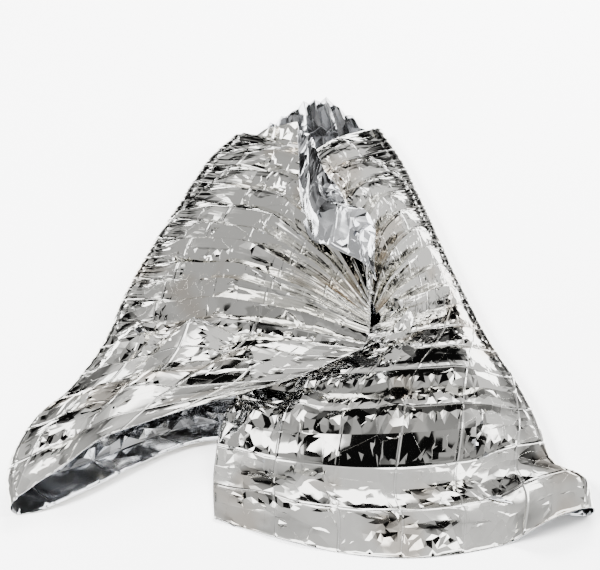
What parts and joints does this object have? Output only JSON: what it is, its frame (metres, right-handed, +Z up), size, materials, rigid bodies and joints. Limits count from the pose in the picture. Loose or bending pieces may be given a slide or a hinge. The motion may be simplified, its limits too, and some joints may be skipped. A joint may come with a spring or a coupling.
{
  "type": "emergency foil blanket",
  "caption": "Thin metallised film sheet, wrapped as a closed cape and laid flat, with gathered pleats, a turned-back collar and packing creases.",
  "frame": {"origin": "on the surface it lies on, under the middle of its bounding box", "axes": "+Y from the hem to the collar of the wrapped cape, +X to the viewer's right, +Z up off the surface"},
  "size_m": [1.028, 1.2394, 0.1757],
  "materials": {
    "foil": "thin metallised film, mirror bright and creased"
  },
  "bodies": {
    "root": {"foil_blanket": "foil"}
  },
  "joints": []
}
